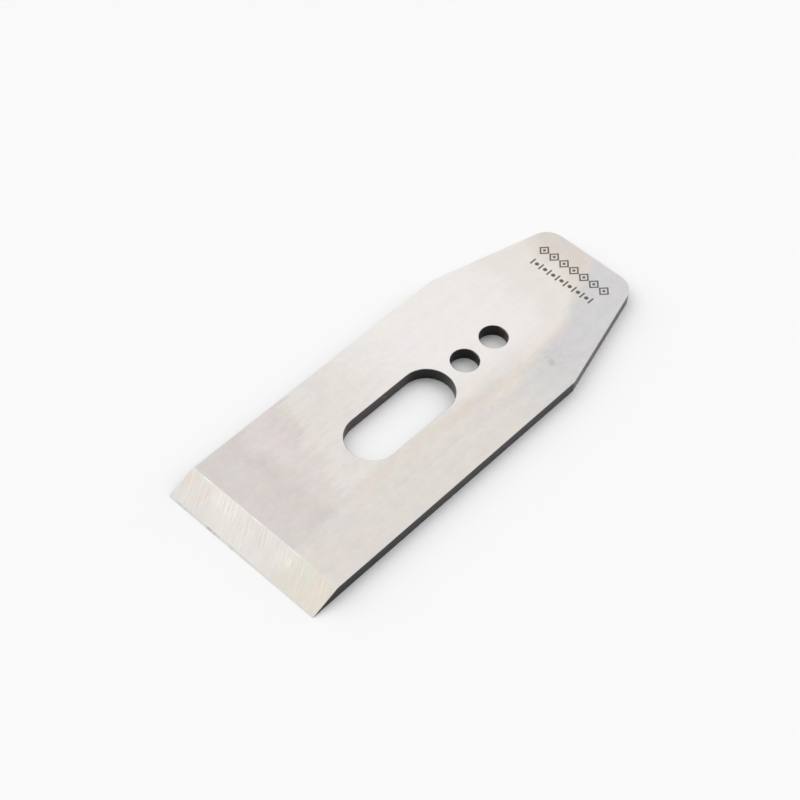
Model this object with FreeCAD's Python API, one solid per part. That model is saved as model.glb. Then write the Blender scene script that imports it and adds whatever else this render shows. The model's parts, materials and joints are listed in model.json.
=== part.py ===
"""Plane iron: the flat steel cutter of a small hand plane.

One piece of hardened plate, ground flat on both faces. It lies on its flat back, with the ground
bevel facing up at the cutting end. The sides run parallel from the cutting edge to the shoulders,
then taper to a narrow tail with rounded corners. An obround slot passes the screw of the cap that
clamps the iron, and the round holes behind it take the pin of the depth adjuster.

Millimetres and degrees. X runs across the iron, Y along it from the cutting edge towards the tail,
and Z up out of the flat back. The origin is the middle of the flat back, in length and in width.
Places along the iron are measured from the tail, because sharpening wears back the other end.
"""

import FreeCAD, Part
import math
import os

# Plate
WIDTH = 41.3
LENGTH = 110.0
THICKNESS = 3.2

# Tail: from its end to the shoulders, and the width at its end before the corners are rounded
TAIL_LENGTH = 30.7
TAIL_WIDTH = 24.8
TAIL_CORNER_RADIUS = 4.8
SHOULDER_RADIUS = 2.0

# Cutting end: the main bevel, and the narrow steeper one honed along the very edge
BEVEL_ANGLE = 24.0
MICRO_BEVEL_ANGLE = 29.0
MICRO_BEVEL_WIDTH = 0.45

# Adjuster holes: the rear one's centre from the tail, and the steel left between neighbours
HOLE_FROM_TAIL = 33.45
HOLE_DIAMETER = 6.5
HOLE_COUNT = 2
WEB_BETWEEN_HOLES = 2.85

# Slot, and the steel left between it and the hole behind it
SLOT_LENGTH = 29.1
SLOT_WIDTH = 12.2
WEB_BEHIND_SLOT = 2.55

# Light chamfer that takes the burr off every edge but the cutting edge
EDGE_BREAK = 0.08

# How far cutting tools run past the plate
OVERRUN = 1.0

TOLERANCE = 1e-6

OUT_DIR = "parts"

TAIL_END = LENGTH / 2
CUTTING_EDGE = -LENGTH / 2
SHOULDERS = TAIL_END - TAIL_LENGTH


def hole_centres():
    """Y of each adjuster hole's centre, from the rear one towards the slot."""
    pitch = HOLE_DIAMETER + WEB_BETWEEN_HOLES
    return [TAIL_END - HOLE_FROM_TAIL - i * pitch for i in range(HOLE_COUNT)]


def face_through(points):
    """The flat face inside a closed outline of straight sides."""
    return Part.Face(Part.makePolygon(points + points[:1]))


def upright_edges(plate, y):
    """The edges that stand from face to face of the plate at one place along it."""
    upright = []
    for edge in plate.Edges:
        box = edge.BoundBox
        at_place = abs(box.YMin - y) < TOLERANCE and abs(box.YMax - y) < TOLERANCE
        if at_place and box.ZLength > THICKNESS - TOLERANCE:
            upright.append(edge)
    return upright


def blank():
    """The plate cut to its outline: parallel sides, tapered shoulders and a tail with round corners."""
    half_width = WIDTH / 2
    half_tail = TAIL_WIDTH / 2
    right_side = [
        (half_width, CUTTING_EDGE),
        (half_width, SHOULDERS),
        (half_tail, TAIL_END),
    ]
    left_side = [(-x, y) for x, y in reversed(right_side)]
    outline = [FreeCAD.Vector(x, y, 0) for x, y in right_side + left_side]
    plate = face_through(outline).extrude(FreeCAD.Vector(0, 0, THICKNESS))
    plate = plate.makeFillet(TAIL_CORNER_RADIUS, upright_edges(plate, TAIL_END))
    return plate.makeFillet(SHOULDER_RADIUS, upright_edges(plate, SHOULDERS))


def slot_cutter():
    """The obround slot: straight flanks and half-round ends, as an end mill leaves it."""
    radius = SLOT_WIDTH / 2
    tail_side = hole_centres()[-1] - HOLE_DIAMETER / 2 - WEB_BEHIND_SLOT
    high = tail_side - radius
    low = tail_side - SLOT_LENGTH + radius

    def at(x, y):
        return FreeCAD.Vector(x, y, -OVERRUN)

    edges = [
        Part.makeLine(at(radius, low), at(radius, high)),
        Part.Arc(at(radius, high), at(0, high + radius), at(-radius, high)).toShape(),
        Part.makeLine(at(-radius, high), at(-radius, low)),
        Part.Arc(at(-radius, low), at(0, low - radius), at(radius, low)).toShape(),
    ]
    return Part.Face(Part.Wire(edges)).extrude(FreeCAD.Vector(0, 0, THICKNESS + 2 * OVERRUN))


def hole_cutters():
    """The round holes for the adjuster's pin, in a row on the centre line behind the slot."""
    cutters = []
    for y in hole_centres():
        base = FreeCAD.Vector(0, y, -OVERRUN)
        cutters.append(Part.makeCylinder(HOLE_DIAMETER / 2, THICKNESS + 2 * OVERRUN, base))
    return cutters


def rim_edges(plate):
    """The edges round both faces of the plate, apart from those at the end that is ground to an edge."""
    rims = []
    for edge in plate.Edges:
        box = edge.BoundBox
        on_back = abs(box.ZMin) < TOLERANCE and abs(box.ZMax) < TOLERANCE
        on_top = abs(box.ZMin - THICKNESS) < TOLERANCE and abs(box.ZMax - THICKNESS) < TOLERANCE
        at_cutting_end = box.YMax < CUTTING_EDGE + TOLERANCE
        if (on_back or on_top) and not at_cutting_end:
            rims.append(edge)
    return rims


def bevel_cutter():
    """What the grinder takes off the cutting end: the main bevel over a narrow micro bevel."""
    micro_rise = MICRO_BEVEL_WIDTH * math.sin(math.radians(MICRO_BEVEL_ANGLE))
    micro_run = MICRO_BEVEL_WIDTH * math.cos(math.radians(MICRO_BEVEL_ANGLE))
    top = THICKNESS + OVERRUN
    main_run = (top - micro_rise) / math.tan(math.radians(BEVEL_ANGLE))
    profile = [
        (CUTTING_EDGE, 0),
        (CUTTING_EDGE + micro_run, micro_rise),
        (CUTTING_EDGE + micro_run + main_run, top),
        (CUTTING_EDGE - OVERRUN, top),
        (CUTTING_EDGE - OVERRUN, 0),
    ]
    left = -WIDTH / 2 - OVERRUN
    face = face_through([FreeCAD.Vector(left, y, z) for y, z in profile])
    return face.extrude(FreeCAD.Vector(WIDTH + 2 * OVERRUN, 0, 0))


def plane_iron():
    """The finished iron as one solid."""
    pierced = blank().cut([slot_cutter()] + hole_cutters())
    chamfered = pierced.makeChamfer(EDGE_BREAK, rim_edges(pierced))
    return chamfered.cut(bevel_cutter()).Solids[0]


def main():
    os.makedirs(OUT_DIR, exist_ok=True)
    solid = plane_iron()
    print("plane_iron", "valid", solid.isValid(), "volume", round(solid.Volume, 1), "mm3")
    solid.exportStep(os.path.join(OUT_DIR, "plane_iron.step"))


main()
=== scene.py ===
"""How the plane iron looks: ground steel on a white table, in the soft light of two broad windows.

The iron keeps the frame's shape. This file gives it its finish, lays it on a table, and sets the
light and the camera. The scene is in metres. The finish is written in the iron's own millimetres,
with X across the iron, Y along it from the cutting edge towards the tail, and Z up out of its back.
"""

import json
import math
from collections import namedtuple

import bpy
from mathutils import Matrix, Vector


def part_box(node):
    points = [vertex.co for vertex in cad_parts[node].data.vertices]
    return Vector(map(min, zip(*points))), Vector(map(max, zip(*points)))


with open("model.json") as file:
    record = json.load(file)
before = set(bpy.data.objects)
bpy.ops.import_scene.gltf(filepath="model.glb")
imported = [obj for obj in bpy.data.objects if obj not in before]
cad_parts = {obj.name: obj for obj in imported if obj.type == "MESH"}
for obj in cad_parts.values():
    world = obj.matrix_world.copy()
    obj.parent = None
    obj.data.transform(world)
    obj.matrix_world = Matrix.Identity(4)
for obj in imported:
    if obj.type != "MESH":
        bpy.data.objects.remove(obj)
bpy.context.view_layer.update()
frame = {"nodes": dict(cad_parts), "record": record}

MM = 0.001

# The iron, from the frame
NODE = "plane_iron"
mounts = {mount["name"]: mount for mount in frame["record"]["mounts"]}
low, high = [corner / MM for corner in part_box(NODE)]
CUTTING_EDGE = low.y
TAIL_END = high.y
TOP = high.z
HOLE_RADIUS = mounts["front_adjuster_hole"]["dims"]["r_mm"]
FRONT_HOLE = mounts["front_adjuster_hole"]["pos_m"][1] / MM
REAR_HOLE = mounts["rear_adjuster_hole"]["pos_m"][1] / MM
SLOT_HALF_WIDTH = mounts["clamp_slot"]["dims"]["hole_r_mm"]
SLOT_START = mounts["clamp_slot"]["pos_m"][1] / MM - mounts["clamp_slot"]["dims"]["slot_length_mm"] / 2
SLOT_END = mounts["clamp_slot"]["pos_m"][1] / MM + mounts["clamp_slot"]["dims"]["slot_length_mm"] / 2

# The iron, where the frame gives no size of its own
TAIL_LENGTH = 30.7
BEVEL_LENGTH = 7.09
SHOULDERS = TAIL_END - TAIL_LENGTH
HEEL = CUTTING_EDGE + BEVEL_LENGTH

# Upward part of a surface's direction: level faces, the main bevel, the micro bevel, the broken
# edges and the upright sides follow one another, and these lie between neighbours. One gives way to
# the next in a soft step, of which the blur is half the width
LEVEL_ABOVE = 0.96
BEVEL_ABOVE = 0.895
MICRO_BEVEL_ABOVE = 0.80
BROKEN_EDGE_ABOVE = 0.35
STEP_BLUR = 0.01

# How far round a slot or hole its rim reaches, and half the width of the soft step there
RIM_REACH = 0.3
RIM_BLUR = 0.1

# Camera, solved from the outline, slot and holes in the photograph
CAMERA_TARGET = Vector((-4.20, -3.60, 0)) * MM
CAMERA_DISTANCE = 396.1 * MM
CAMERA_AZIMUTH = 40.68
CAMERA_ELEVATION = 51.92
CAMERA_ROLL = 3.14
CAMERA_LENS = 83.52
CAMERA_NEAR = 0.01
CAMERA_FAR = 20.0
SENSOR_WIDTH = 36.0

# Light. Matt surfaces are lit by a window behind the tail and a broader one at the left side, and
# metal mirrors the white room. A spread is the angle that a window takes up in the sky. The two
# windows' tints cancel out on the open table and leave its shadows faintly pink
Window = namedtuple("Window", "name azimuth elevation spread strength colour")
WINDOWS = [
    Window("tail_window", azimuth=166.0, elevation=35.0, spread=63.0, strength=1.86,
           colour=(1.0, 0.976, 0.992)),
    Window("side_window", azimuth=281.0, elevation=56.0, spread=97.0, strength=2.14,
           colour=(1.0, 1.014, 1.005)),
]
ROOM_WHITE = (1.0, 1.0, 1.0, 1.0)
ROOM_STRENGTH = 0.10
SEEN_ROOM = 1.0
MIRRORED_LOW = 0.84
MIRRORED_HIGH = 1.03
MIRRORED_AZIMUTH = 250.0
MIRRORED_ELEVATION = 65.0

# Table. It lies a hair below the iron, so that the two don't share a plane
TABLE_SIZE = 6.0
TABLE_DROP = 0.02 * MM


def from_screen(red, green, blue):
    """The linear colour that shows on screen as these 0 to 255 values in plain light."""
    def linear(value):
        value /= 255
        return value / 12.92 if value <= 0.04045 else ((value + 0.055) / 1.055) ** 2.4
    return (linear(red), linear(green), linear(blue), 1.0)


# Colour of the table
TABLE_WHITE = from_screen(249, 249, 249)

# Colours of the flat faces
BRIGHT_STEEL = from_screen(236, 232, 229)
DULL_STEEL = from_screen(228, 222, 216)
PALE_HAZE = from_screen(226, 221, 216)
GREY_HAZE = from_screen(214, 208, 205)
MISTY_STEEL = from_screen(220, 213, 210)
DARK_FRINGE = from_screen(206, 198, 193)
YELLOW_HAZE = from_screen(230, 226, 220)
STRAW = from_screen(220, 211, 203)
WARM_STEEL = from_screen(221, 216, 211)
COOL_STEEL = from_screen(211, 209, 210)
RUSTY_STEEL = from_screen(224, 214, 206)
TAIL_STEEL = from_screen(213, 210, 208)
SMUDGE = from_screen(170, 170, 168)
SPECK = from_screen(128, 122, 92)

# Colours of the bevel and the micro bevel
BEVEL_STEEL = from_screen(230, 226, 221)
BEVEL_GREEN = from_screen(226, 222, 211)
BEVEL_GREY = from_screen(224, 218, 214)
BEVEL_ORANGE = from_screen(233, 219, 207)
# Bright scratches on the bevel; also the colour of its painted glints and painted heel highlight
SCRATCH_AND_HIGHLIGHT_WHITE = from_screen(250, 248, 242)
HONED_STEEL = from_screen(222, 221, 217)
HONED_GREY = from_screen(207, 206, 202)
NICK = from_screen(178, 177, 173)

# Colours of the sides, the slot, the holes with their rims, and the etched border
SKIN_DARK = from_screen(29, 29, 32)
SKIN_PALE = from_screen(61, 59, 61)
SKIN_TAPER = from_screen(93, 93, 94)
SKIN_SLOT = from_screen(65, 59, 61)
# Slot end and holes: dark skin, and a lighter copy as painted light where the wall turns to the light
SKIN_SLOT_END = from_screen(30, 32, 34)
SLOT_END_PAINTED_LIGHT = from_screen(94, 93, 92)
SKIN_REAR_HOLE = from_screen(30, 27, 23)
REAR_HOLE_PAINTED_LIGHT = from_screen(84, 79, 74)
SKIN_FRONT_HOLE = from_screen(24, 22, 24)
FRONT_HOLE_PAINTED_LIGHT = from_screen(52, 49, 47)
SKIN_SPECK = from_screen(128, 126, 124)
DULLED_RIM = from_screen(84, 82, 82)
# Painted highlight on the tail side of each hole's upper rim
PAINTED_RIM_HIGHLIGHT = from_screen(205, 190, 172)
ETCHED = from_screen(92, 85, 82)

Place = namedtuple("Place", "x y z upward")
Finish = namedtuple("Finish", "colour metal roughness relief")
Mark = namedtuple("Mark", "x y across along strength")

# Where the bright haze on the faces ends, and where the cool tint beyond it starts: how far across
# the iron, at places along it. Both lie between 0 and the span
SEAM = [
    (-55, 8.8), (-38, 8.2), (-24, 6.0), (0, 6.8), (16, 8.6), (26, 9.4), (36, 7.6), (44, 3.8), (55, 0.0),
]
COOL_EDGE = [
    (-55, 16.0), (6, 14.6), (15, 12.8), (21, 11.4), (27, 9.8), (33, 9.0), (39, 6.2), (44, 4.6), (55, 0.5),
]
SEAM_SPAN = 20.0

# Hazes and tints along the iron: from where one starts to where it is full. One with four places
# also fades out, between the last two
MISTY_ALONG = (-39.0, -33.0)
PALE_ALONG = (-32.0, -26.5)
BRIGHT_ALONG = (-18.0, 9.0)
YELLOW_ALONG = (31.0, 38.0)
STRAW_ALONG = (43.0, 50.0)
DULL_ALONG = (-24.0, -8.0)
RUSTY_ALONG = (-34.0, -26.0)
COOL_ALONG = (6.0, 29.0)
CLEAR_ALONG = (-8.0, 8.0)
UPPER_FRINGE_ALONG = (-34.5, -30.5, -29.5, -26.5)
LOWER_FRINGE_ALONG = (-42.0, -37.5, -37.0, -33.5)
TAIL_TINT_LENGTH = 2.6

# The same across the iron, from its middle. At an end, the haze fades out instead
UPPER_FRINGE_END = (-14.0, -6.0)
CLEAR_END = (3.0, 9.0)
STREAKS_ACROSS = (5.0, 8.0)

# The same across the iron, from the seam or from where the cool tint starts
DULL_BY_SEAM = (-8.0, -0.5)
RUSTY_BY_SEAM = (-1.0, 1.2, 1.6, 5.0)
OVER_SEAM = (-1.4, 1.4)
OVER_COOL_EDGE = (-1.2, 1.8)

# Bevel. Its scratches slant and bow as they run from the heel, and grow shallower from a little
# below it. The bright line along the heel is a painted highlight. Towards the right the bevel grows
# calmer and greener, and its grey corner is the one at the left of the edge. Limits are of noise
SCRATCH_SLANT = 0.58
SCRATCH_BOW = 0.018
SHALLOWER_FROM = 1.0
TORN_LIMITS = (0.05, 0.22)
HEEL_HIGHLIGHT_WIDTH = 0.14
HEEL_HIGHLIGHT_BLUR = 0.08
HEEL_HIGHLIGHT_END = (9.0, 13.0)
BEVEL_RIGHT = (2.0, 9.0)
BEVEL_GREEN_ACROSS = (5.0, 10.0)
BEVEL_GREY_CORNER = (8.0, 11.5)
HONED_GREY_END = (-2.0, 8.0)
HONED_GREY_LIMITS = (-0.12, 0.16)

# Sides, slot and holes. A turn is where a round wall turns towards the light, and its skin is
# painted lighter there as painted light
SHOULDER_BLUR = 0.4
SKIN_PALE_ALONG = (-44.0, -12.0)
SLOT_ROUND_ALONG = (SLOT_END - SLOT_HALF_WIDTH, SLOT_END - SLOT_HALF_WIDTH + 2.0)
SLOT_TURN = (-4.0, 5.0)
FRONT_TURN = (-0.5, 2.6)
REAR_TURN = (-1.0, 2.6)
BETWEEN_HOLES = (FRONT_HOLE + REAR_HOLE) / 2
# Where the painted highlight lies on each hole's upper rim
RIM_HIGHLIGHT_PAST_CENTRE = (2.0, 2.8)
RIM_HIGHLIGHT_ACROSS = (-1.4, 0.2, 1.4, 2.4)
RIM_HIGHLIGHT_HEIGHTS = (TOP - 0.7, TOP - 0.2)
SKIN_SPECK_LIMITS = (0.10, 0.28)

# Marks: the place of each on the iron, its half-sizes across and along it, and its strength. The
# edge says where a mark starts to fade and where it ends, as shares of its half-sizes
MARK_EDGE = (0.5, 1.3)
SMUDGE_MARKS = [
    Mark(13.6, 26.6, across=2.8, along=3.4, strength=0.09),
    Mark(13.4, 25.2, across=1.5, along=0.85, strength=0.16),
    Mark(13.7, 25.0, across=0.7, along=0.4, strength=0.22),
]
SPECK_MARKS = [Mark(12.7, 6.6, across=0.2, along=0.28, strength=0.25)]
RIGHT_RUST_MARKS = [Mark(17.4, HEEL - 3.4, across=3.4, along=3.2, strength=0.6)]
LEFT_RUST_MARKS = [
    Mark(-14.6, HEEL - 2.6, across=1.7, along=2.6, strength=0.6),
    Mark(-19.6, HEEL - 1.6, across=1.6, along=2.0, strength=0.6),
]
# Painted glints: brighter patches near the heel, as painted highlights
PAINTED_GLINT_MARKS = [
    Mark(-9.0, HEEL - 1.5, across=4.5, along=2.0, strength=0.28),
    Mark(8.4, HEEL - 2.4, across=2.6, along=2.4, strength=0.18),
]
NICK_MARKS = [
    Mark(-8.9, CUTTING_EDGE + 0.15, across=0.7, along=0.4, strength=0.8),
    Mark(-7.4, CUTTING_EDGE + 0.1, across=0.4, along=0.3, strength=0.8),
]
WALL_SCRATCH_MARKS = [Mark(-SLOT_HALF_WIDTH, -6.5, across=1.0, along=0.45, strength=0.6)]
WALL_SCRATCH_HEIGHT = 1.9
WALL_SCRATCH_EDGE = (0.12, 0.4)

# Etched border near the tail: the places of its rows and the sizes of what repeats in them. A
# lozenge's line and core are shares of its half-size
LOZENGE_ROW = TAIL_END - 6.15
LOZENGE_PITCH = 2.9
LOZENGE_HEIGHT = 3.2
LOZENGE_COUNT = 7
LOZENGE_LINE = 0.34
LOZENGE_CORE = 0.30
BEAD_ROW = TAIL_END - 10.5
BEAD_PITCH = 2.4
BEAD_RADIUS = 0.5
REEL_WIDTH = 0.4
REEL_HEIGHT = 1.9
REEL_COUNT = 8
ETCH_BLUR = 0.07
ETCH_STRENGTH = 0.95
ETCH_DEPTH = 2.0

# Shine of the skin, and how high one unit of relief stands
SPECULAR_LEVEL = 0.3
RELIEF_UNIT = 0.004 * MM


class Field:
    """A number that varies over a surface. Arithmetic on fields adds math nodes."""

    def __init__(self, graph, socket):
        self.graph = graph
        self.socket = socket

    def __add__(self, other):
        return self.graph.math("ADD", self, other)

    def __radd__(self, other):
        return self.graph.math("ADD", other, self)

    def __sub__(self, other):
        return self.graph.math("SUBTRACT", self, other)

    def __rsub__(self, other):
        return self.graph.math("SUBTRACT", other, self)

    def __mul__(self, other):
        return self.graph.math("MULTIPLY", self, other)

    def __truediv__(self, other):
        return self.graph.math("DIVIDE", self, other)

    def __abs__(self):
        return self.graph.math("ABSOLUTE", self)


class Graph:
    """The nodes of one material or world, added by calls that return fields or sockets."""

    def __init__(self, owner):
        owner.use_nodes = True
        self.tree = owner.node_tree
        self.tree.nodes.clear()

    def node(self, kind, **settings):
        made = self.tree.nodes.new(kind)
        for name, value in settings.items():
            setattr(made, name, value)
        return made

    def put(self, socket, value):
        """Links a field or socket to an input, or sets the input's own value."""
        if isinstance(value, Field):
            value = value.socket
        if isinstance(value, bpy.types.NodeSocket):
            self.tree.links.new(value, socket)
        else:
            socket.default_value = value

    def math(self, operation, *values):
        made = self.node("ShaderNodeMath", operation=operation)
        for socket, value in zip(made.inputs, values):
            self.put(socket, value)
        return Field(self, made.outputs[0])

    def smooth(self, value, start, end):
        """0 before start and 1 after end, with a smooth step between them."""
        made = self.node("ShaderNodeMapRange", interpolation_type="SMOOTHSTEP")
        self.put(made.inputs["Value"], value)
        self.put(made.inputs["From Min"], start)
        self.put(made.inputs["From Max"], end)
        return Field(self, made.outputs["Result"])

    def zone(self, value, start, full, fading, end):
        """1 from full to fading and 0 outside start and end, with smooth steps between them."""
        return self.smooth(value, start, full) * (1.0 - self.smooth(value, fading, end))

    def above(self, value, limit, blur=STEP_BLUR):
        """1 where a value is above its limit, and 0 where it is below."""
        return self.smooth(value, limit - blur, limit + blur)

    def below(self, value, limit, blur=STEP_BLUR):
        """1 where a value is below its limit, and 0 where it is above."""
        return 1.0 - self.above(value, limit, blur)

    def curve(self, value, points, span):
        """A smooth curve through (value, result) points, where results lie between 0 and span."""
        made = self.node("ShaderNodeFloatCurve")
        first, last = points[0][0], points[-1][0]
        line = made.mapping.curves[0]
        for point, (at, result) in zip(line.points, (points[0], points[-1])):
            point.location = ((at - first) / (last - first), result / span)
        for at, result in points[1:-1]:
            line.points.new((at - first) / (last - first), result / span)
        made.mapping.update()
        self.put(made.inputs["Value"], (value - first) / (last - first))
        return Field(self, made.outputs[0]) * span

    def vector(self, x, y, z):
        made = self.node("ShaderNodeCombineXYZ")
        for socket, value in zip(made.inputs, (x, y, z)):
            self.put(socket, value)
        return made.outputs[0]

    def noise(self, place, detail, roughness=0.5):
        made = self.node("ShaderNodeTexNoise")
        self.put(made.inputs["Vector"], place)
        made.inputs["Scale"].default_value = 1.0
        made.inputs["Detail"].default_value = detail
        made.inputs["Roughness"].default_value = roughness
        return made

    def grain(self, across, along, width, length, layer, detail=2.0, roughness=0.55):
        """Noise about 0, drawn out into streaks of this width and length. Layers differ."""
        place = self.vector(across / width, along / length, layer)
        return Field(self, self.noise(place, detail, roughness).outputs["Fac"]) - 0.5

    def speckle(self, place, across, along, up, detail, roughness=0.5):
        """Noise about 0 on every side of the iron, with these numbers of specks to a millimetre."""
        at = self.vector(place.x * across, place.y * along, place.z * up)
        return Field(self, self.noise(at, detail, roughness).outputs["Fac"]) - 0.5

    def tinted(self, colour, across, along, width, length, layer, strength):
        """A colour with faint clouds of other hues over it."""
        place = self.vector(across / width, along / length, layer)
        clouds = self.noise(place, detail=2.0).outputs["Color"]
        return self.mix_colour(strength, colour, clouds, blend="SOFT_LIGHT")

    def shaded(self, colour, brightness):
        """A colour made brighter or darker by a number about 1."""
        grey = self.vector(brightness, brightness, brightness)
        return self.mix_colour(1.0, colour, grey, blend="MULTIPLY")

    def marks(self, place, marks, ragged=0.0):
        """The strengths of marks, each within its own soft-edged ellipse, added up."""
        total = 0.0
        for mark in marks:
            across = (place.x - mark.x) / mark.across
            along = (place.y - mark.y) / mark.along
            distance = self.math("SQRT", across * across + along * along)
            total += (1.0 - self.smooth(distance + ragged, *MARK_EDGE)) * mark.strength
        return total

    def mix(self, share, first, second):
        """A number that goes from first to second as the share goes from 0 to 1."""
        made = self.node("ShaderNodeMix", data_type="FLOAT")
        for name, value in (("Factor", share), ("A", first), ("B", second)):
            self.put(made.inputs[name], value)
        return Field(self, made.outputs[0])

    def mix_colour(self, share, first, second, blend="MIX"):
        made = self.node("ShaderNodeMix", data_type="RGBA", blend_type=blend)
        share_in, first_in, second_in = [socket for socket in made.inputs if socket.enabled][:3]
        for socket, value in ((share_in, share), (first_in, first), (second_in, second)):
            self.put(socket, value)
        return next(socket for socket in made.outputs if socket.enabled)

    def painted(self, colour, coats):
        """A colour with others over it, in order, each where its own share is 1."""
        for share, coat in coats:
            colour = self.mix_colour(share, colour, coat)
        return colour

    def over(self, finish, share, cover):
        """One finish with another over it where the share is 1."""
        colour = self.mix_colour(share, finish.colour, cover.colour)
        numbers = [self.mix(share, under, top) for under, top in zip(finish[1:], cover[1:])]
        return Finish(colour, *numbers)


def place_on_iron(graph):
    """The place in millimetres, and how far the surface faces up."""
    split = graph.node("ShaderNodeSeparateXYZ")
    graph.put(split.inputs[0], graph.node("ShaderNodeTexCoord").outputs["Object"])
    x, y, z = [Field(graph, socket) / MM for socket in split.outputs]
    facing = graph.node("ShaderNodeSeparateXYZ")
    graph.put(facing.inputs[0], graph.node("ShaderNodeNewGeometry").outputs["True Normal"])
    return Place(x, y, z, Field(graph, facing.outputs["Z"]))


def haze(graph, place):
    """The hazes and temper tints that lie over the flat faces in soft zones along the iron."""
    x, y = place.x, place.y
    ragged = graph.grain(x, y, width=1.1, length=8.0, layer=0.0, detail=4.0, roughness=0.6)
    cloudy = graph.grain(x, y, width=6.3, length=12.5, layer=7.0, detail=3.0)
    past_seam = x - graph.curve(y, SEAM, SEAM_SPAN) + ragged * 1.8 + cloudy * 1.5
    past_cool_edge = x - graph.curve(y, COOL_EDGE, SEAM_SPAN) + ragged * 3.0 + cloudy * 5.0
    drift = y + ragged * 8.0 + cloudy * 8.0
    slanting_drift = y + ragged * 15.0 + cloudy * 5.0 + x * 0.25
    straw_drift = y + x * 0.2 + ragged * 4.0 + cloudy * 8.0
    cool_drift = y + cloudy * 10.0

    upper_fringe = graph.zone(slanting_drift, *UPPER_FRINGE_ALONG)
    upper_fringe = upper_fringe * (1.0 - graph.smooth(x, *UPPER_FRINGE_END))
    lower_fringe = graph.zone(drift, *LOWER_FRINGE_ALONG)
    dull = graph.smooth(past_seam, *DULL_BY_SEAM) * graph.smooth(drift, *DULL_ALONG)
    left = graph.painted(GREY_HAZE, [
        (graph.smooth(drift, *MISTY_ALONG), MISTY_STEEL),
        (graph.smooth(slanting_drift, *PALE_ALONG), PALE_HAZE),
        (graph.smooth(drift, *BRIGHT_ALONG), BRIGHT_STEEL),
        (upper_fringe * 0.32 + lower_fringe * 0.30, DARK_FRINGE),
        (dull * 0.7, DULL_STEEL),
        (graph.smooth(drift, *YELLOW_ALONG), YELLOW_HAZE),
        (graph.smooth(straw_drift, *STRAW_ALONG), STRAW),
    ])

    rusty = graph.zone(past_seam, *RUSTY_BY_SEAM) * graph.smooth(drift, *RUSTY_ALONG)
    cool = graph.smooth(past_cool_edge, *OVER_COOL_EDGE) * graph.smooth(cool_drift, *COOL_ALONG)
    right = graph.painted(WARM_STEEL, [(rusty * 0.75, RUSTY_STEEL), (cool, COOL_STEEL)])
    tail = graph.smooth(y, TAIL_END - TAIL_TINT_LENGTH, TAIL_END)
    return graph.painted(left, [
        (graph.smooth(past_seam, *OVER_SEAM), right),
        (tail * 0.6, TAIL_STEEL),
    ])


def flat_faces(graph, place):
    """Surface-ground steel: fine lengthwise lines under soft hazes, with a smudge and a speck."""
    x, y = place.x, place.y
    fine = graph.grain(x, y, width=0.16, length=18.0, layer=0.0)
    broad = graph.grain(x, y, width=0.9, length=30.0, layer=5.0)
    mottle = graph.grain(x, y, width=0.9, length=1.6, layer=11.0, detail=3.0)
    cloud = graph.grain(x, y, width=2.6, length=4.5, layer=13.0, detail=3.0)
    streak = graph.grain(x, y, width=2.0, length=26.0, layer=15.0, detail=3.0)
    streak = streak * graph.smooth(x, *STREAKS_ACROSS)
    clear = graph.smooth(y, *CLEAR_ALONG) * (1.0 - graph.smooth(x, *CLEAR_END))

    colour = haze(graph, place)
    colour = graph.tinted(colour, x, y, width=5.0, length=12.0, layer=3.0, strength=0.09)
    colour = graph.tinted(colour, x, y, width=1.8, length=3.0, layer=4.0, strength=0.13)
    colour = graph.tinted(colour, x, y, width=0.8, length=1.1, layer=8.0, strength=0.08)
    patches = (mottle * 0.12 + cloud * 0.13) * (1.0 - clear * 0.45)
    colour = graph.shaded(colour, 1.0 + fine * 0.045 + broad * 0.05 + streak * 0.09 + patches)
    on_top = graph.above(place.upward, 0.0)
    smudge = graph.marks(place, SMUDGE_MARKS, ragged=mottle * 3.0)
    speck = graph.marks(place, SPECK_MARKS)
    colour = graph.painted(colour, [(smudge * on_top, SMUDGE), (speck * on_top, SPECK)])
    return Finish(colour, metal=1.0, roughness=0.34 + broad * 0.10 + cloud * 0.08, relief=fine * 0.5)


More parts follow.
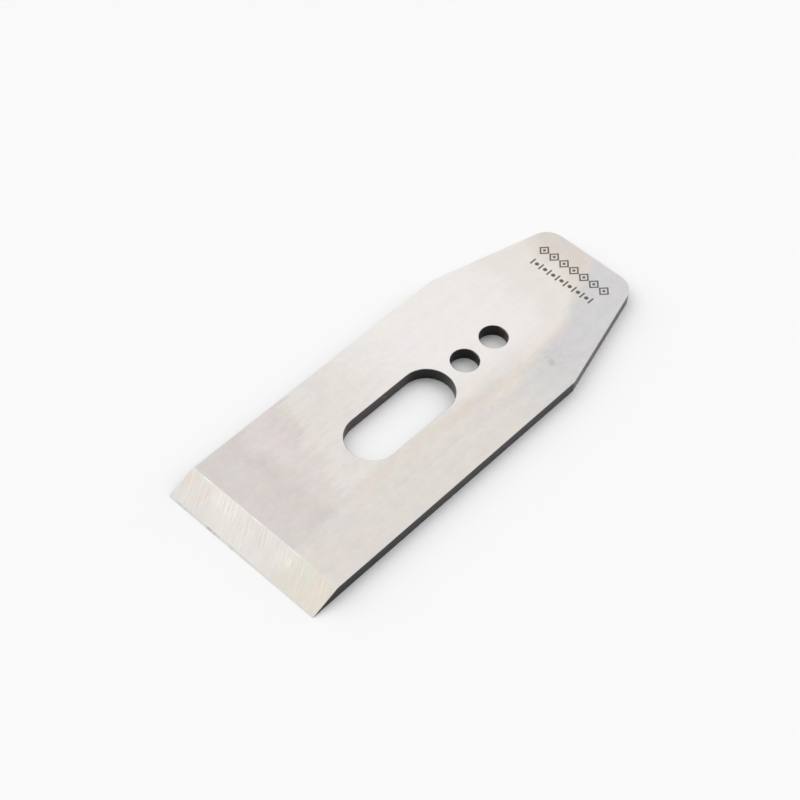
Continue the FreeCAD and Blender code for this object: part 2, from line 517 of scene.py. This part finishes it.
def main_bevel(graph, place):
    """The ground bevel: coarse scratches that bow as the wheel's edge did, and a torn heel, with
    painted glints and a painted highlight along the heel.
    """
    x = place.x
    from_heel = HEEL - place.y
    towards_right = graph.smooth(x, *BEVEL_RIGHT)
    across = x - from_heel * SCRATCH_SLANT + from_heel * from_heel * SCRATCH_BOW
    fine = graph.grain(across, from_heel, width=0.15, length=4.0, layer=1.0)
    coarse = graph.grain(across, from_heel, width=0.42, length=6.0, layer=2.0)
    stripes = graph.grain(across, from_heel, width=1.1, length=9.0, layer=19.0)
    patchy = graph.grain(x, from_heel, width=3.0, length=4.0, layer=9.0)
    blotchy = graph.grain(across, from_heel, width=3.5, length=6.0, layer=17.0, detail=4.0, roughness=0.65)
    tooth = graph.grain(across, 0.0, width=0.5, length=1.0, layer=21.0, detail=4.0, roughness=0.7)
    stretch = graph.grain(across, 0.0, width=3.5, length=1.0, layer=22.0)

    green = graph.smooth(x + blotchy * 10.0, *BEVEL_GREEN_ACROSS)
    grey = graph.smooth(from_heel * 0.7 - x * 0.45 + blotchy * 9.0, *BEVEL_GREY_CORNER)
    rust = graph.marks(place, RIGHT_RUST_MARKS, ragged=blotchy * 4.0 + coarse * 2.0)
    rust = rust + graph.marks(place, LEFT_RUST_MARKS, ragged=blotchy * 4.0 + coarse * 3.0)
    colour = graph.painted(BEVEL_STEEL, [
        (green, BEVEL_GREEN),
        (grey * 0.5, BEVEL_GREY),
        (rust, BEVEL_ORANGE),
    ])
    tint = 0.13 + towards_right * 0.10
    colour = graph.tinted(colour, across, from_heel, width=0.7, length=2.8, layer=6.0, strength=tint)
    # Painted highlights: two glints near the heel
    painted_glint = graph.marks(place, PAINTED_GLINT_MARKS, ragged=coarse * 4.0)
    colour = graph.mix_colour(painted_glint, colour, SCRATCH_AND_HIGHLIGHT_WHITE)

    depth = 1.0 + patchy * 2.4 - graph.smooth(from_heel, SHALLOWER_FROM, BEVEL_LENGTH) * 0.35
    depth = depth * (1.0 - towards_right * 0.35)
    lines = fine * 0.34 + coarse * 0.28 + stripes * 0.18
    colour = graph.shaded(colour, 1.0 + lines * depth + blotchy * 0.05 + patchy * 0.05)
    torn = graph.smooth(coarse * 0.8 + fine + patchy * 0.3 - from_heel * 0.04, *TORN_LIMITS)
    # Painted highlight: a thin bright line along the heel, uneven and fading towards the right
    heel_highlight = graph.below(from_heel, HEEL_HIGHLIGHT_WIDTH + tooth * 1.2 + stretch, blur=HEEL_HIGHLIGHT_BLUR)
    heel_highlight = heel_highlight * (1.0 - graph.smooth(x, *HEEL_HIGHLIGHT_END) * 0.85)
    colour = graph.painted(colour, [
        (torn * (0.62 - towards_right * 0.30), SCRATCH_AND_HIGHLIGHT_WHITE),
        (heel_highlight * (0.5 + tooth * 2.0 + stretch * 2.4), SCRATCH_AND_HIGHLIGHT_WHITE),
    ])
    return Finish(colour, metal=1.0, roughness=0.39 + coarse * 0.08, relief=fine + coarse * 1.2)


def micro_bevel(graph, place):
    """The narrow honed strip along the edge, greyer towards one side, with two small nicks."""
    x = place.x
    uneven = graph.grain(x, place.y, width=1.6, length=3.0, layer=23.0, detail=4.0, roughness=0.65)
    towards_left = 1.0 - graph.smooth(x + uneven * 14.0, *HONED_GREY_END)
    grey = towards_left * graph.smooth(uneven, *HONED_GREY_LIMITS)
    nicks = graph.marks(place, NICK_MARKS, ragged=uneven * 4.0)
    colour = graph.painted(HONED_STEEL, [(grey, HONED_GREY), (nicks, NICK)])
    return Finish(colour, metal=1.0, roughness=0.32, relief=0.0)


def opening_mask(graph, place, half_width, start, end):
    """1 in and close round what opens in the middle of the iron, from start to end along it."""
    reach = (end - start) / 2 + RIM_REACH
    in_line = graph.below(abs(place.x), half_width + RIM_REACH, blur=RIM_BLUR)
    return in_line * graph.below(abs(place.y - (start + end) / 2), reach, blur=RIM_BLUR)


def hole_mask(graph, place):
    """1 in and close round the two holes."""
    return opening_mask(graph, place, HOLE_RADIUS, FRONT_HOLE - HOLE_RADIUS, REAR_HOLE + HOLE_RADIUS)


def slot_mask(graph, place):
    """1 in and close round the slot."""
    return opening_mask(graph, place, SLOT_HALF_WIDTH, SLOT_START, SLOT_END)


def rim_highlight_mask(graph, place, grain):
    """Painted highlight: a warm streak on the tail side of each hole's upper rim."""
    pitch = REAR_HOLE - FRONT_HOLE
    past_centre = graph.math("WRAP", place.y - FRONT_HOLE, pitch / 2, -pitch / 2)
    tail_side = graph.smooth(past_centre, *RIM_HIGHLIGHT_PAST_CENTRE) * graph.zone(place.x, *RIM_HIGHLIGHT_ACROSS)
    return hole_mask(graph, place) * tail_side * graph.smooth(place.z + grain, *RIM_HIGHLIGHT_HEIGHTS)


def broken_edges(graph, place):
    """The chamfers: bare bright metal round the outside, and dulled in the slot and holes, with a
    painted highlight on the tail side of each hole's upper rim.
    """
    worn = graph.grain(place.x, place.y, width=1.2, length=1.2, layer=25.0, detail=3.0)
    inside = graph.math("MAXIMUM", hole_mask(graph, place), slot_mask(graph, place))
    colour = graph.painted(graph.shaded(BRIGHT_STEEL, 0.97 + worn * 0.2), [
        (inside * (0.8 + worn), DULLED_RIM),
        # Painted highlight on the tail side of each hole's upper rim
        (rim_highlight_mask(graph, place, worn) * 0.6, PAINTED_RIM_HIGHLIGHT),
    ])
    return Finish(colour, metal=1.0 - inside * 0.5, roughness=0.35, relief=0.0)


def sides(graph, place):
    """The dark skin of hardening on the sides and in the slot and holes, with painted light where
    the round walls turn towards the light.
    """
    x, y, z = place.x, place.y, place.z
    grain = graph.speckle(place, across=2.2, along=2.2, up=2.2, detail=4.0, roughness=0.65)
    scale = graph.speckle(place, across=0.35, along=0.35, up=0.9, detail=3.0)
    in_holes = hole_mask(graph, place)
    on_taper = graph.above(y, SHOULDERS, blur=SHOULDER_BLUR) * (1.0 - in_holes)
    pale = graph.smooth(y, *SKIN_PALE_ALONG) * 0.7 + scale * 1.2 + 0.05

    # Painted light: the slot's round end grows lighter where it turns towards the light
    slot_end = graph.mix_colour(graph.smooth(x, *SLOT_TURN), SKIN_SLOT_END, SLOT_END_PAINTED_LIGHT)
    at_scratch = 1.0 - graph.smooth(abs(z - WALL_SCRATCH_HEIGHT), *WALL_SCRATCH_EDGE)
    slot = graph.painted(SKIN_SLOT, [
        (graph.smooth(y, *SLOT_ROUND_ALONG), slot_end),
        (graph.marks(place, WALL_SCRATCH_MARKS) * at_scratch, SKIN_SPECK),
    ])
    # Painted light: each hole's wall grows lighter where it turns towards the light
    front = graph.mix_colour(graph.smooth(x, *FRONT_TURN), SKIN_FRONT_HOLE, FRONT_HOLE_PAINTED_LIGHT)
    rear = graph.mix_colour(graph.smooth(x, *REAR_TURN), SKIN_REAR_HOLE, REAR_HOLE_PAINTED_LIGHT)
    holes = graph.mix_colour(graph.above(y, BETWEEN_HOLES), front, rear)
    colour = graph.painted(SKIN_DARK, [
        (pale, SKIN_PALE),
        (on_taper, SKIN_TAPER),
        (slot_mask(graph, place), slot),
        (in_holes, holes),
    ])
    colour = graph.painted(graph.shaded(colour, 1.0 + grain * 0.35), [
        (graph.smooth(grain, *SKIN_SPECK_LIMITS) * 0.22, SKIN_SPECK),
        # Painted highlight on the tail side of each hole's upper rim
        (rim_highlight_mask(graph, place, grain) * 0.75, PAINTED_RIM_HIGHLIGHT),
    ])
    return Finish(colour, metal=0.0, roughness=0.42 + grain * 0.3, relief=grain * 3.0)


def ornament(graph, place):
    """A plain etched border across the tail: linked lozenges over a finer row of beads and reels."""
    x, y = place.x, place.y

    def repeated(pitch, shift=0.0):
        return graph.math("WRAP", x + shift, pitch / 2, -pitch / 2)

    def within(value, limit):
        return graph.below(value, limit, blur=ETCH_BLUR)

    step = abs(repeated(LOZENGE_PITCH)) / (LOZENGE_PITCH / 2) + abs(y - LOZENGE_ROW) / (LOZENGE_HEIGHT / 2)
    outline = within(step, 1.0) * within(1.0 - step, LOZENGE_LINE)
    lozenges = graph.math("MAXIMUM", within(step, LOZENGE_CORE), outline)
    lozenges = lozenges * within(abs(x), LOZENGE_PITCH * LOZENGE_COUNT / 2)

    dx = repeated(BEAD_PITCH)
    dy = y - BEAD_ROW
    beads = within(graph.math("SQRT", dx * dx + dy * dy), BEAD_RADIUS)
    beads = beads * within(abs(x), BEAD_PITCH * (REEL_COUNT - 1) / 2)
    reels = within(abs(repeated(BEAD_PITCH, shift=BEAD_PITCH / 2)), REEL_WIDTH / 2)
    reels = reels * within(abs(dy), REEL_HEIGHT / 2) * within(abs(x), BEAD_PITCH * REEL_COUNT / 2)
    return graph.math("MAXIMUM", lozenges, graph.math("MAXIMUM", beads, reels))


def steel_finish(material):
    """One finish for the whole iron, from its flat faces to its dark sides."""
    graph = Graph(material)
    place = place_on_iron(graph)
    upward = place.upward
    etched = ornament(graph, place) * graph.above(upward, LEVEL_ABOVE) * ETCH_STRENGTH
    leaning = graph.above(upward, MICRO_BEVEL_ABOVE) * graph.below(upward, LEVEL_ABOVE)
    covers = [
        (etched, Finish(ETCHED, metal=0.3, roughness=0.7, relief=-ETCH_DEPTH)),
        (leaning, main_bevel(graph, place)),
        (leaning * graph.below(upward, BEVEL_ABOVE), micro_bevel(graph, place)),
        (graph.below(abs(upward), MICRO_BEVEL_ABOVE), broken_edges(graph, place)),
        (graph.below(abs(upward), BROKEN_EDGE_ABOVE), sides(graph, place)),
    ]
    finish = flat_faces(graph, place)
    for share, cover in covers:
        finish = graph.over(finish, share, cover)

    shader = graph.node("ShaderNodeBsdfPrincipled")
    shader.inputs["Specular IOR Level"].default_value = SPECULAR_LEVEL
    graph.put(shader.inputs["Base Color"], finish.colour)
    graph.put(shader.inputs["Metallic"], finish.metal)
    graph.put(shader.inputs["Roughness"], finish.roughness)
    bump = graph.node("ShaderNodeBump")
    bump.inputs["Strength"].default_value = 1.0
    bump.inputs["Distance"].default_value = RELIEF_UNIT
    graph.put(bump.inputs["Height"], finish.relief)
    graph.put(shader.inputs["Normal"], bump.outputs[0])
    output = graph.node("ShaderNodeOutputMaterial")
    graph.put(output.inputs["Surface"], shader.outputs[0])


def table_finish(material):
    """Matt white table."""
    graph = Graph(material)
    shader = graph.node("ShaderNodeBsdfDiffuse")
    graph.put(shader.inputs["Color"], TABLE_WHITE)
    output = graph.node("ShaderNodeOutputMaterial")
    graph.put(output.inputs["Surface"], shader.outputs[0])


def make_table():
    bpy.ops.mesh.primitive_plane_add(size=TABLE_SIZE, location=(0, 0, -TABLE_DROP))
    table = bpy.context.object
    table.name = "table"
    material = bpy.data.materials.new("table_white")
    table_finish(material)
    table.data.materials.append(material)


def direction(azimuth, elevation):
    """Unit vector towards a place at this azimuth, from -Y round by +X, and elevation."""
    a, e = math.radians(azimuth), math.radians(elevation)
    return Vector((math.sin(a) * math.cos(e), -math.cos(a) * math.cos(e), math.sin(e)))


def make_world():
    """A white room: dim to matt surfaces, and white where it is seen or mirrored."""
    world = bpy.data.worlds.new("white_room")
    bpy.context.scene.world = world
    graph = Graph(world)
    bright_side = graph.node("ShaderNodeVectorMath", operation="DOT_PRODUCT")
    graph.put(bright_side.inputs[0], graph.node("ShaderNodeTexCoord").outputs["Generated"])
    bright_side.inputs[1].default_value = direction(MIRRORED_AZIMUTH, MIRRORED_ELEVATION)
    glow = graph.smooth(Field(graph, bright_side.outputs["Value"]), 0.0, 1.0)
    mirrored = graph.mix(glow, MIRRORED_LOW, MIRRORED_HIGH)

    path = graph.node("ShaderNodeLightPath")
    seen = graph.math("MAXIMUM", Field(graph, path.outputs["Is Camera Ray"]),
                      Field(graph, path.outputs["Is Transmission Ray"]))
    strength = graph.mix(seen, ROOM_STRENGTH, SEEN_ROOM)
    strength = graph.mix(Field(graph, path.outputs["Is Glossy Ray"]), strength, mirrored)
    background = graph.node("ShaderNodeBackground")
    background.inputs["Color"].default_value = ROOM_WHITE
    graph.put(background.inputs["Strength"], strength)
    output = graph.node("ShaderNodeOutputWorld")
    graph.put(output.inputs["Surface"], background.outputs[0])


def make_window(window):
    """A broad soft light from far off, which metal doesn't mirror."""
    light = bpy.data.lights.new(window.name, "SUN")
    light.angle = math.radians(window.spread)
    light.energy = window.strength
    light.color = window.colour
    lamp = bpy.data.objects.new(window.name, light)
    lamp.visible_glossy = False
    lamp.rotation_mode = "QUATERNION"
    lamp.rotation_quaternion = direction(window.azimuth, window.elevation).to_track_quat("Z", "Y")
    bpy.context.scene.collection.objects.link(lamp)


def make_camera():
    data = bpy.data.cameras.new("camera")
    data.lens = CAMERA_LENS
    data.sensor_width = SENSOR_WIDTH
    data.sensor_fit = "HORIZONTAL"
    data.clip_start = CAMERA_NEAR
    data.clip_end = CAMERA_FAR
    camera = bpy.data.objects.new("camera", data)
    back = direction(CAMERA_AZIMUTH, CAMERA_ELEVATION)
    level = Vector((0, 0, 1)).cross(back).normalized()
    up = back.cross(level)
    roll = math.radians(CAMERA_ROLL)
    right = level * math.cos(roll) + up * math.sin(roll)
    turned_up = back.cross(right)
    turn = Matrix((right, turned_up, back)).transposed()
    camera.rotation_mode = "QUATERNION"
    camera.rotation_quaternion = turn.to_quaternion()
    camera.location = CAMERA_TARGET + back * CAMERA_DISTANCE
    bpy.context.scene.collection.objects.link(camera)
    bpy.context.scene.camera = camera


iron = frame["nodes"][NODE]
steel = bpy.data.materials.new("ground_steel_finish")
steel_finish(steel)
for material_slot in iron.material_slots:
    material_slot.material = steel

make_table()
make_world()
for window in WINDOWS:
    make_window(window)
make_camera()
bpy.context.scene.view_settings.view_transform = "Standard"
